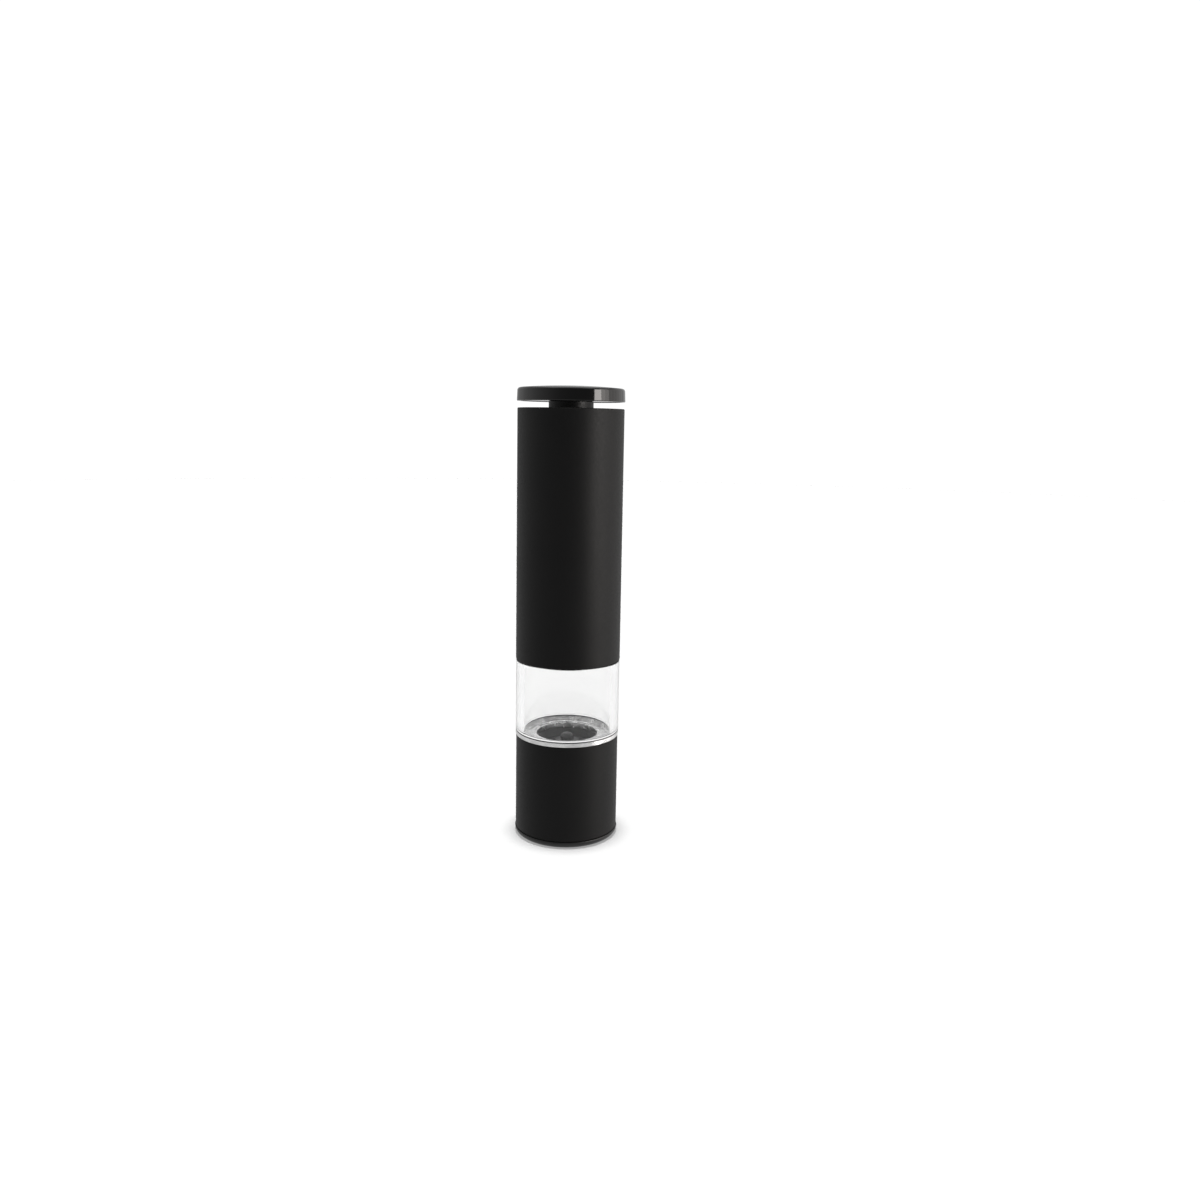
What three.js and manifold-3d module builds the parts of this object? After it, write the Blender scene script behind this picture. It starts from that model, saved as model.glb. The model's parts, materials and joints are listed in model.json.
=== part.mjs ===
// A base-turn pepper mill, in millimetres, +Z up, standing at the origin on its dust cap.
//
// The sleeve and the clear pepper chamber are held in one hand and the black base is turned with the
// other. No rod crosses the chamber: the ceramic cone stands on a short spindle that the base carries
// on a three-armed outlet spider, and the ceramic ring hangs under the chamber floor. The disc on
// top is the refill lid, which pulls off by its stopper, and a dust cap closes the base underneath.
import * as THREE from "three";
import { mergeVertices } from "three/addons/utils/BufferGeometryUtils.js";
import Module from "manifold-3d";

const wasm = await Module();
wasm.setup();

// ---- driving dimensions ----------------------------------------------------------------------------
const SLEEVE_RADIUS = 25;
const CHAMBER_RADIUS = 24.9; // the clear band, a little slimmer than the sleeve
const BASE_RADIUS = 24.65;
const LID_RADIUS = 25.3;
const CAP_RADIUS = 24.95;
const CHAMBER_BORE = 21;

const CAP_HEIGHT = 3.1; // the rim that shows under the base
const BASE_TOP = 49.2;
const FLANGE_HEIGHT = 1.9; // the bright band between the base and the clear chamber
const SLEEVE_BOTTOM = 86.5;
const SLEEVE_TOP = 205.4;
const LID_GAP = 3.1; // finger gap between the sleeve and the lid
const LID_HEIGHT = 6.1; // to the lid's shoulder
const LID_CROWN = 1.2; // how far the lid's top bulges above its shoulder

const PLAY = 0.2; // between pieces that only touch
const RUN = 0.3; // radial, between pieces that turn on each other
const SEAL_PLAY = 0.25; // round a seal's rim
const SEGMENTS = 32; // round the outside pieces
const TOOTH_SEGMENTS = 48;
const INNER_SEGMENTS = 24;
const SMALL_SEGMENTS = 16;
const SCREW_SEGMENTS = 8;
const ARMS = 3;
const BOSS_TURN = Math.PI / 3; // the base's bosses stand between the grinder's screws

// ---- levels and radii worked out from them ---------------------------------------------------------
const flangeBottom = BASE_TOP + RUN;
const flangeTop = flangeBottom + FLANGE_HEIGHT;
const gasketThickness = 0.4;
const chamberBottom = flangeTop + gasketThickness + 0.1;
const chamberShoulder = SLEEVE_BOTTOM - PLAY;
const sleeveWall = 1.4;
const linerRadius = SLEEVE_RADIUS - sleeveWall - PLAY; // the chamber's upper part, inside the sleeve
const chamberTop = SLEEVE_TOP - 7.4;
const topPlateTop = SLEEVE_TOP - 1.2;
const stopperHole = 11.3;
const neckRadius = 10.5;
const stopperFlangeTop = topPlateTop + 1;
const lidBottom = SLEEVE_TOP + LID_GAP;
const lidShoulder = lidBottom + LID_HEIGHT;

const baseBore = BASE_RADIUS - 1.8;
const webBottom = BASE_TOP - 10; // the base's inner web, on which the upper half turns
const webTop = BASE_TOP - 5.8;
const webBore = 20.5;
const skirtRadius = webBore - RUN;
const skirtBore = 16.9;
const skirtBottom = webBottom - 1.2;
const boss = { inner: 19.4, width: 7.6, bottom: BASE_TOP - 22.6, top: BASE_TOP - 19 };

const housingRadius = skirtBore - PLAY;
const housingFlangeTop = skirtBottom - PLAY;
const housingFlangeBottom = housingFlangeTop - 2.2;
const stator = { outer: 15.3, bottom: BASE_TOP - 15.8, top: BASE_TOP - 6.6 };
const housingBottom = stator.bottom - 1.5;
const funnelTop = BASE_TOP - 2.1;

const spider = { bottom: boss.bottom - 4, top: boss.bottom - PLAY, ringBore: 18.4, hub: 6.4 };
const hubBottom = boss.bottom - 8.6;
const rotor = { bottom: BASE_TOP - 14.6, top: BASE_TOP - 3.6 };
const spindleSide = 4.1;
const squareBore = 4.5;
const threadRadius = 2;
const dial = { bottom: hubBottom - 9.2, top: hubBottom - 1.2, radius: 9.5 };

const COLOURS = {
  softTouch: { color: 0x1b1b1c, roughness: 0.62, metalness: 0 },
  gloss: { color: 0x0a0a0b, roughness: 0.12, metalness: 0 },
  clear: { color: 0xf4f6f6, roughness: 0.03, metalness: 0, transparent: true, opacity: 0.3 },
  satinMetal: { color: 0xb4b6b8, roughness: 0.3, metalness: 1 },
  plastic: { color: 0x202022, roughness: 0.5, metalness: 0 },
  ceramic: { color: 0x2e2e30, roughness: 0.4, metalness: 0 },
  steel: { color: 0xa9adb2, roughness: 0.28, metalness: 1 },
  brass: { color: 0xc79a4b, roughness: 0.3, metalness: 1 },
  silicone: { color: 0x161617, roughness: 0.75, metalness: 0 },
  acetal: { color: 0xe6e6e2, roughness: 0.4, metalness: 0 },
};

const mill = new THREE.Group();

// ---- helpers ---------------------------------------------------------------------------------------
function material(kind) {
  return new THREE.MeshStandardMaterial(COLOURS[kind]);
}

function add(name, geometry, kind, place = [0, 0, 0]) {
  const mesh = new THREE.Mesh(geometry, material(kind));
  mesh.name = name;
  mesh.position.set(...place);
  mill.add(mesh);
}

// A profile of [radius, height] points turned about Z. It runs so that the solid lies on its left:
// up the outside, and down the bore or along the axis.
function turned(profile, segments = SEGMENTS) {
  const points = profile.map(([radius, height]) => new THREE.Vector2(radius, height));
  if (profile[0][0] > 0) points.push(points[0].clone());
  return new THREE.LatheGeometry(points, segments).rotateX(Math.PI / 2);
}

function ring(inner, outer, bottom, top, segments = SEGMENTS) {
  return turned([[outer, bottom], [outer, top], [inner, top], [inner, bottom]], segments);
}

function disc(radius, bottom, top, segments = SMALL_SEGMENTS) {
  return turned([[0, bottom], [radius, bottom], [radius, top], [0, top]], segments);
}

function block(width, depth, bottom, top) {
  return new THREE.BoxGeometry(width, depth, top - bottom).translate(0, 0, (bottom + top) / 2);
}

// An arc of profile points about [radius, height], between two angles in degrees.
function arc(radius, height, round, from, to, steps) {
  return Array.from({ length: steps + 1 }, (_, i) => {
    const angle = THREE.MathUtils.degToRad(from + ((to - from) * i) / steps);
    return [radius + round * Math.cos(angle), height + round * Math.sin(angle)];
  });
}

function oRing(radius, height, thickness) {
  return new THREE.TorusGeometry(radius, thickness, 6, INNER_SEGMENTS).translate(0, 0, height);
}

function solid(geometry) {
  const bare = geometry.index ? geometry.toNonIndexed() : geometry.clone();
  bare.deleteAttribute("normal");
  bare.deleteAttribute("uv");
  const merged = mergeVertices(bare, 1e-4);
  const vertProperties = merged.attributes.position.array;
  const triVerts = new Uint32Array(merged.index.array);
  return new wasm.Manifold(new wasm.Mesh({ numProp: 3, vertProperties, triVerts }));
}

function geometryOf(manifold) {
  const mesh = manifold.getMesh();
  const geometry = new THREE.BufferGeometry();
  geometry.setAttribute("position", new THREE.BufferAttribute(mesh.vertProperties, 3));
  geometry.setIndex(new THREE.BufferAttribute(mesh.triVerts, 1));
  geometry.computeVertexNormals();
  return geometry;
}

function join(geometries) {
  return geometries.map(solid).reduce((whole, piece) => whole.add(piece));
}

function cut(geometry, cutters) {
  const whole = geometry.isBufferGeometry ? solid(geometry) : geometry;
  return cutters.map(solid).reduce((rest, cutter) => rest.subtract(cutter), whole);
}

// Makes one thing at each of a ring of places, from its x, y, angle and number.
function around(count, radius, make, offset = 0) {
  return Array.from({ length: count }, (_, i) => {
    const angle = offset + (i * 2 * Math.PI) / count;
    return make(radius * Math.cos(angle), radius * Math.sin(angle), angle, i);
  });
}

// A ring of material whose walls vary round the axis. Each level is [height, radius as a function of
// the angle]; the levels run in a closed loop, up the outside and down the bore.
function lofted(levels, segments) {
  const positions = [];
  for (const [height, radiusAt] of levels) {
    for (let i = 0; i < segments; i++) {
      const angle = (i * 2 * Math.PI) / segments;
      const radius = radiusAt(angle);
      positions.push(radius * Math.cos(angle), radius * Math.sin(angle), height);
    }
  }
  const index = [];
  for (let level = 0; level < levels.length; level++) {
    const low = level * segments;
    const high = ((level + 1) % levels.length) * segments;
    for (let i = 0; i < segments; i++) {
      const next = (i + 1) % segments;
      index.push(low + i, low + next, high + next, low + i, high + next, high + i);
    }
  }
  const geometry = new THREE.BufferGeometry();
  geometry.setAttribute("position", new THREE.Float32BufferAttribute(positions, 3));
  geometry.setIndex(index);
  geometry.computeVertexNormals();
  return geometry;
}

const plainRadius = (radius) => () => radius;

// A sawtooth wall: teeth of the given depth cut inwards from the radius, leaning by twist radians.
function toothedRadius(radius, teeth, depth, twist = 0) {
  return (angle) => {
    const turns = (teeth * (angle + twist)) / (2 * Math.PI);
    return radius - depth * (turns - Math.floor(turns + 1e-6));
  };
}

function squareRadius(side) {
  return (angle) => side / 2 / Math.max(Math.abs(Math.cos(angle)), Math.abs(Math.sin(angle)));
}

// A pan-head screw, head down, with its cross recess; its head's underside is at the given height.
function screw(name, x, y, headUnderside, { shank, length, head, headHeight }) {
  const body = turned(
    [
      [0, -headHeight],
      [head * 0.8, -headHeight],
      [head, -headHeight * 0.55],
      [head, 0],
      [shank, 0],
      [shank, length - shank],
      [0, length],
    ],
    SCREW_SEGMENTS,
  );
  const slot = head * 0.28;
  const recess = [
    block(head * 1.1, slot, -headHeight - 1, -headHeight * 0.5),
    block(slot, head * 1.1, -headHeight - 1, -headHeight * 0.5),
  ];
  add(name, geometryOf(cut(body, recess)), "steel", [x, y, headUnderside]);
}

// ---- dust cap --------------------------------------------------------------------------------------
function makeDustCap() {
  const edge = CAP_HEIGHT - 0.3;
  const foot = 17; // inside this the underside stands clear of the table
  const spigot = baseBore - RUN;
  const groove = { radius: spigot - 1.2, bottom: 6, top: 7.2 };
  add(
    "dust_cap",
    turned([
      [0, 0.6],
      [foot - 0.6, 0.6],
      [foot, 0],
      ...arc(CAP_RADIUS - edge, edge, edge, -90, 0, 4),
      [CAP_RADIUS - 0.15, CAP_HEIGHT],
      [spigot, CAP_HEIGHT],
      [spigot, groove.bottom],
      [groove.radius, groove.bottom],
      [groove.radius, groove.top],
      [spigot, groove.top],
      [spigot - 0.3, 9.4],
      [spigot - 2, 9.4],
      [spigot - 2, 3],
      [spigot - 2.7, 2.3],
      [0, 2.3],
    ]),
    "plastic",
  );
  const ringThickness = (groove.top - groove.bottom) / 2 - 0.1;
  const ringRadius = baseBore - SEAL_PLAY - ringThickness;
  add("cap_ring", oRing(ringRadius, (groove.bottom + groove.top) / 2, ringThickness), "silicone");
}

// ---- base ------------------------------------------------------------------------------------------
const SPIDER_SCREW_RADIUS = 21;
const spiderScrew = { shank: 0.8, length: 6.6, head: 1.5, headHeight: 1.1 };
const atBosses = (radius, make) => around(ARMS, radius, make, BOSS_TURN);

function makeBaseShell() {
  const lip = 0.4;
  const bottom = CAP_HEIGHT + PLAY;
  const shell = turned([
    [BASE_RADIUS - lip, bottom],
    [BASE_RADIUS, bottom + lip],
    [BASE_RADIUS, BASE_TOP - lip],
    [BASE_RADIUS - lip, BASE_TOP],
    [baseBore, BASE_TOP],
    [baseBore, webTop],
    [webBore, webTop],
    [webBore, webBottom],
    [baseBore, webBottom],
    [baseBore, bottom],
  ]);
  const length = baseBore + 0.8 - boss.inner;
  const bosses = atBosses(boss.inner + length / 2, (x, y, angle) =>
    block(length, boss.width, boss.bottom, boss.top).rotateZ(angle).translate(x, y, 0),
  );
  const pilots = atBosses(SPIDER_SCREW_RADIUS, (x, y) =>
    disc(spiderScrew.shank + 0.1, boss.bottom - 1, boss.top - 0.6, SCREW_SEGMENTS).translate(x, y, 0),
  );
  add("base_shell", geometryOf(cut(join([shell, ...bosses]), pilots)), "softTouch");
}

function makeWashers() {
  const inner = webBore + 0.1;
  const washer = (outer, bottom) => ring(inner, outer, bottom, bottom + 1, INNER_SEGMENTS);
  add("upper_washer", washer(baseBore - PLAY, webTop + 0.15), "acetal");
  add("lower_washer", washer(baseBore - 0.6, webBottom - 1.1), "acetal");
}

function makeSpider() {
  const outer = baseBore - PLAY;
  const armWidth = 4.6;
  const armStart = spider.hub - 1;
  const armLength = spider.ringBore + 1 - armStart;
  const arms = atBosses(armStart + armLength / 2, (x, y, angle) =>
    block(armLength, armWidth, spider.bottom, spider.top).rotateZ(angle).translate(x, y, 0),
  );
  const body = join([
    ring(spider.ringBore, outer, spider.bottom, spider.top, INNER_SEGMENTS),
    disc(spider.hub, hubBottom, spider.top),
    ...arms,
  ]);
  const clearances = atBosses(SPIDER_SCREW_RADIUS, (x, y) =>
    disc(spiderScrew.shank + 0.2, spider.bottom - 1, spider.top + 1, SCREW_SEGMENTS).translate(x, y, 0),
  );
  const bore = block(squareBore, squareBore, hubBottom - 1, spider.top + 1);
  add("outlet_spider", geometryOf(cut(body, [bore, ...clearances])), "plastic");
  atBosses(SPIDER_SCREW_RADIUS, (x, y, angle, i) =>
    screw(`spider_screw_${i + 1}`, x, y, spider.bottom - 0.1, spiderScrew),
  );
}

// ---- grinding cone, its spindle, spring and dial ---------------------------------------------------
function makeRotor() {
  const fineTeeth = 24;
  const ridges = 6;
  const bore = squareRadius(squareBore);
  const cone = lofted(
    [
      [rotor.bottom, toothedRadius(12.2, fineTeeth, 1)],
      [rotor.bottom + 2.8, toothedRadius(11, fineTeeth, 1)],
      [rotor.bottom + 3.2, toothedRadius(10.7, ridges, 1.4, 0.2)],
      [rotor.bottom + 6, toothedRadius(9.6, ridges, 1.7, 0.45)],
      [rotor.bottom + 8.6, toothedRadius(8.2, ridges, 1.7, 0.7)],
      [rotor.top, toothedRadius(6.6, ridges, 1.2, 0.9)],
      [rotor.top, bore],
      [rotor.bottom, bore],
    ],
    TOOTH_SEGMENTS,
  );
  add("rotor_cone", cone, "ceramic");
}

function makeSpindle() {
  const square = spindleSide;
  const top = rotor.top - 0.1;
  const body = join([
    disc(threadRadius, dial.bottom + 0.1, hubBottom + 1),
    block(square, square, hubBottom + 0.1, top),
    disc(square / 2 - 0.15, top - 1, rotor.top + 2.8),
  ]);
  const trimmed = body.intersect(solid(disc(square * 0.64, dial.bottom, rotor.top + 3)));
  add("spindle", geometryOf(trimmed), "steel");
}

function makeRotorNut() {
  const bottom = rotor.top + 0.1;
  const acrossCorners = 3.6;
  const hex = new THREE.CylinderGeometry(acrossCorners, acrossCorners, 2.2, 6).rotateX(Math.PI / 2);
  hex.translate(0, 0, bottom + 1.1);
  const dome = turned(
    [
      [0, bottom + 1],
      [2.9, bottom + 1],
      [2.9, bottom + 2.1],
      [2.7, bottom + 2.9],
      [1.9, bottom + 3.5],
      [0, bottom + 3.8],
    ],
    SMALL_SEGMENTS,
  );
  const bore = disc(spindleSide / 2 + 0.05, bottom - 1, rotor.top + 3);
  add("rotor_nut", geometryOf(cut(join([hex, dome]), [bore])), "plastic");
}

class Helix extends THREE.Curve {
  constructor(radius, bottom, top, turns) {
    super();
    Object.assign(this, { radius, bottom, top, turns });
  }
  getPoint(t, target = new THREE.Vector3()) {
    const angle = 2 * Math.PI * this.turns * t;
    const height = this.bottom + (this.top - this.bottom) * t;
    return target.set(this.radius * Math.cos(angle), this.radius * Math.sin(angle), height);
  }
}

function makeSpring() {
  const wire = 0.45;
  const seatTop = spider.top + 0.6;
  add("spring_washer", ring(3.1, 5.6, spider.top + 0.1, seatTop, SMALL_SEGMENTS), "steel");
  const turns = 4.5;
  const section = new THREE.Shape();
  section.absarc(0, 0, wire, 0, 2 * Math.PI);
  const coil = new THREE.ExtrudeGeometry(section, {
    curveSegments: 3,
    steps: turns * 12,
    extrudePath: new Helix(4.3, seatTop + wire + 0.1, rotor.bottom - wire - 0.1, turns),
    bevelEnabled: false,
  });
  add("rotor_spring", geometryOf(solid(coil)), "steel");
}

function makeDial() {
  const scallops = 12;
  const insertRadius = 4;
  const knurl = (depth) => (angle) => dial.radius - depth - 0.35 * (1 - Math.cos(scallops * angle));
  const body = lofted(
    [
      [dial.bottom, knurl(0.8)],
      [dial.bottom + 0.8, knurl(0)],
      [dial.top - 0.8, knurl(0)],
      [dial.top, knurl(0.8)],
      [dial.top, plainRadius(insertRadius)],
      [dial.bottom, plainRadius(insertRadius)],
    ],
    TOOTH_SEGMENTS,
  );
  add("adjuster_dial", body, "plastic");
  const insertBore = threadRadius + 0.15;
  const insertOuter = insertRadius - 0.1;
  const insert = ring(insertBore, insertOuter, dial.bottom + 0.3, dial.top - 0.3, SMALL_SEGMENTS);
  add("dial_insert", insert, "brass");
  add("dial_washer", ring(3.2, 6.2, dial.top + 0.1, hubBottom - 0.1, SMALL_SEGMENTS), "steel");
}

// ---- chamber floor and the grinder's fixed half ----------------------------------------------------
const HOUSING_SCREW_RADIUS = 18.6;
const housingScrew = { shank: 0.8, length: 6.6, head: 1.5, headHeight: 1.2 };

function makeFloorRing() {
  const floor = BASE_TOP + 0.7;
  const hole = 14.2;
  const lip = flangeTop - 0.4; // a step down from the gasket's seat
  const plugRadius = baseBore - RUN;
  const well = CHAMBER_BORE - 1.1;
  const body = turned([
    [hole, funnelTop + 0.3],
    [skirtBore, funnelTop + 0.3],
    [skirtBore, skirtBottom],
    [skirtRadius, skirtBottom],
    [skirtRadius, webTop + 1.4],
    [plugRadius, webTop + 1.4],
    [plugRadius, flangeBottom],
    [CHAMBER_RADIUS - 0.2, flangeBottom],
    [CHAMBER_RADIUS, flangeBottom + 0.2],
    [CHAMBER_RADIUS, flangeTop - 0.2],
    [CHAMBER_RADIUS - 0.2, flangeTop],
    [CHAMBER_BORE, flangeTop],
    [CHAMBER_BORE, lip],
    [well, lip],
    [well - 0.1, floor + 0.3],
    [well - 0.4, floor],
    [hole + 0.7, floor],
    [hole, floor - 1.9],
  ]);
  const pilots = around(ARMS, HOUSING_SCREW_RADIUS, (x, y) =>
    disc(housingScrew.shank + 0.1, skirtBottom - 1, skirtBottom + 5, SCREW_SEGMENTS).translate(x, y, 0),
  );
  add("floor_ring", geometryOf(cut(body, pilots)), "satinMetal");
}

function makeGrinderHousing() {
  const lip = 13.4;
  const outer = 22.3;
  const pocket = stator.outer + PLAY;
  const body = turned(
    [
      [housingRadius, housingBottom],
      [housingRadius, housingFlangeBottom],
      [outer, housingFlangeBottom],
      [outer, housingFlangeTop],
      [housingRadius, housingFlangeTop],
      [housingRadius, funnelTop + 0.1],
      [pocket, funnelTop + 0.1],
      [pocket, stator.bottom - 0.1],
      [lip, stator.bottom - 0.1],
      [lip, housingBottom],
    ],
    INNER_SEGMENTS,
  );
  const low = housingFlangeBottom - 1;
  const high = housingFlangeTop + 1;
  const clearances = around(ARMS, HOUSING_SCREW_RADIUS, (x, y) =>
    disc(housingScrew.shank + 0.25, low, high, SCREW_SEGMENTS).translate(x, y, 0),
  );
  // Notches let the flange past the base's bosses when the mill is put together.
  const notches = atBosses(boss.inner + 2.1, (x, y, angle) =>
    block(5, boss.width + 1.2, low, high).rotateZ(angle).translate(x, y, 0),
  );
  add("grinder_housing", geometryOf(cut(body, [...clearances, ...notches])), "plastic");
  around(ARMS, HOUSING_SCREW_RADIUS, (x, y, angle, i) =>
    screw(`housing_screw_${i + 1}`, x, y, housingFlangeBottom - 0.1, housingScrew),
  );
}

function makeStator() {
  const teeth = 24;
  const outer = plainRadius(stator.outer);
  const wall = lofted(
    [
      [stator.bottom, outer],
      [stator.top, outer],
      [stator.top, toothedRadius(14.6, teeth / 2, 1, 0.3)],
      [stator.top - 2.4, toothedRadius(14, teeth / 2, 1.2, 0.2)],
      [rotor.bottom + 3, toothedRadius(12.1, teeth, 1)],
      [rotor.bottom, toothedRadius(13.3, teeth, 1)],
      [stator.bottom, toothedRadius(13.6, teeth, 1)],
    ],
    TOOTH_SEGMENTS,
  );
  add("stator_ring", wall, "ceramic");
}

function makeFeedFunnel() {
  const bottom = stator.top + 0.1;
  const throat = 14.3;
  const funnel = turned(
    [
      [stator.outer, bottom],
      [stator.outer, funnelTop],
      [throat + 0.5, funnelTop],
      [throat, funnelTop - 1.5],
      [throat, bottom],
    ],
    INNER_SEGMENTS,
  );
  const ribs = around(4, throat - 0.4, (x, y, angle) =>
    block(1.6, 1.4, bottom, funnelTop - 1.6).rotateZ(angle).translate(x, y, 0),
  );
  add("feed_funnel", geometryOf(join([funnel, ...ribs])), "plastic");
}

// ---- chamber, sleeve and top plate -----------------------------------------------------------------
function makeChamber() {
  const gasketBottom = flangeTop + 0.05;
  const gasketOuter = CHAMBER_RADIUS - 0.2;
  const gasketTop = gasketBottom + gasketThickness;
  const gasket = ring(CHAMBER_BORE + 0.2, gasketOuter, gasketBottom, gasketTop, INNER_SEGMENTS);
  add("chamber_gasket", gasket, "silicone");
  add(
    "clear_chamber",
    turned([
      [CHAMBER_RADIUS - 0.2, chamberBottom],
      [CHAMBER_RADIUS, chamberBottom + 0.2],
      [CHAMBER_RADIUS, chamberShoulder],
      [linerRadius, chamberShoulder],
      [linerRadius, chamberTop],
      [CHAMBER_BORE, chamberTop],
      [CHAMBER_BORE, chamberBottom],
    ]),
    "clear",
  );
}

function makeSleeve() {
  const edge = 0.4;
  const bore = SLEEVE_RADIUS - sleeveWall;
  add(
    "sleeve",
    turned([
      [SLEEVE_RADIUS - edge, SLEEVE_BOTTOM],
      [SLEEVE_RADIUS, SLEEVE_BOTTOM + edge],
      [SLEEVE_RADIUS, SLEEVE_TOP - edge],
      [SLEEVE_RADIUS - edge, SLEEVE_TOP],
      [bore, SLEEVE_TOP],
      [bore, SLEEVE_BOTTOM],
    ]),
    "softTouch",
  );
}

function makeTopPlate() {
  const skirt = { outer: CHAMBER_BORE - PLAY, inner: CHAMBER_BORE - 2.4, bottom: chamberTop - 6.5 };
  const groove = { radius: skirt.outer - 1.3, bottom: chamberTop - 4.6, top: chamberTop - 3.2 };
  const plateBottom = topPlateTop - 2.8;
  const collar = stopperHole + 1.9;
  const collarBottom = topPlateTop - 8;
  const profile = [
    [skirt.inner, skirt.bottom],
    [skirt.outer, skirt.bottom],
    [skirt.outer, groove.bottom],
    [groove.radius, groove.bottom],
    [groove.radius, groove.top],
    [skirt.outer, groove.top],
    [skirt.outer, chamberTop + PLAY],
    [linerRadius, chamberTop + PLAY],
    [linerRadius, topPlateTop],
    [stopperHole + 0.4, topPlateTop],
    [stopperHole, topPlateTop - 0.4],
    [stopperHole, collarBottom],
    [collar, collarBottom],
    [collar, plateBottom],
    [skirt.inner, plateBottom],
  ];
  add("top_plate", turned(profile, INNER_SEGMENTS), "plastic");
  const sealThickness = 0.5;
  const sealRadius = CHAMBER_BORE - SEAL_PLAY - sealThickness;
  add("top_plate_seal", oRing(sealRadius, (groove.bottom + groove.top) / 2, sealThickness), "silicone");
}

// ---- lid -------------------------------------------------------------------------------------------
function makeStopper() {
  const bottom = topPlateTop - 11;
  const plug = stopperHole - 0.4;
  const wall = 2.4;
  const webUnderside = topPlateTop - 1.2;
  const groove = { radius: plug - 1.1, bottom: topPlateTop - 6.2, top: topPlateTop - 4.8 };
  const screwHole = 1.6;
  const flangeRadius = stopperHole + 1.3;
  const shoulder = lidBottom + 0.1; // carries the lid's underplate
  const profile = [
    [plug - 0.6, bottom],
    [plug, bottom + 0.8],
    [plug, groove.bottom],
    [groove.radius, groove.bottom],
    [groove.radius, groove.top],
    [plug, groove.top],
    [plug, topPlateTop + 0.1],
    [flangeRadius, topPlateTop + 0.1],
    [flangeRadius, stopperFlangeTop],
    [neckRadius, stopperFlangeTop],
    [neckRadius, shoulder],
    [neckRadius - 1, shoulder],
    [neckRadius - 1, shoulder + 1],
    [screwHole, shoulder + 1],
    [screwHole, webUnderside],
    [plug - wall, webUnderside],
    [plug - wall, bottom],
  ];
  add("lid_stopper", turned(profile, INNER_SEGMENTS), "plastic");
  const sealThickness = 0.55;
  const sealRadius = stopperHole - SEAL_PLAY - sealThickness;
  add("stopper_seal", oRing(sealRadius, (groove.bottom + groove.top) / 2, sealThickness), "silicone");
  const lidScrew = { shank: 1.2, length: 9.4, head: 2.8, headHeight: 1.8 };
  screw("lid_screw", 0, 0, webUnderside - 0.1, lidScrew);
}

function makeLid() {
  const draft = 0.2;
  const edge = 1.4;
  const pocketTop = lidShoulder - 1.4;
  const underplateTop = lidBottom + 1.5;
  const underplateRadius = LID_RADIUS - 1.5;
  const post = 6;
  const pilot = 1.3;
  const crownRadius = (LID_RADIUS ** 2 + LID_CROWN ** 2) / (2 * LID_CROWN);
  const crownTop = lidShoulder + LID_CROWN;
  const crownAt = (radius) => crownTop - (crownRadius - Math.sqrt(crownRadius ** 2 - radius ** 2));
  const crown = [16, 8, 0].map((radius) => [radius, crownAt(radius)]);
  add(
    "lid_cap",
    turned([
      [0, pocketTop],
      [pilot, pocketTop],
      [pilot, lidBottom + 1.2],
      [post, lidBottom + 1.2],
      [post, pocketTop],
      [underplateRadius - 1, pocketTop],
      [underplateRadius - 1, underplateTop + 0.1],
      [underplateRadius, underplateTop + 0.1],
      [underplateRadius, lidBottom],
      [LID_RADIUS - 0.3, lidBottom],
      [LID_RADIUS, lidBottom + 0.3],
      ...arc(LID_RADIUS - draft - edge, crownAt(LID_RADIUS - draft - edge) - edge, edge, 0, 90, 3),
      ...crown,
    ]),
    "gloss",
  );
  const underplateBore = neckRadius - 1 + PLAY;
  const underside = lidBottom + 0.2;
  const rim = underplateRadius - PLAY;
  const underplate = ring(underplateBore, rim, underside, underplateTop, INNER_SEGMENTS);
  add("lid_underplate", underplate, "gloss");
}

makeDustCap();
makeBaseShell();
makeWashers();
makeSpider();
makeRotor();
makeSpindle();
makeRotorNut();
makeSpring();
makeDial();
makeFloorRing();
makeGrinderHousing();
makeStator();
makeFeedFunnel();
makeChamber();
makeSleeve();
makeTopPlate();
makeStopper();
makeLid();

export default mill;
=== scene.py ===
"""The looks of a base-turn pepper mill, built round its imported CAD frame.

Profiles are in millimetres, [radius, height] or [radius, height, rounding], and every level comes from
the CAD node that the piece stands for. Each piece rides on that node's body.
"""

import json
import math

import bmesh
import bpy
from mathutils import Matrix, Vector

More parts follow.
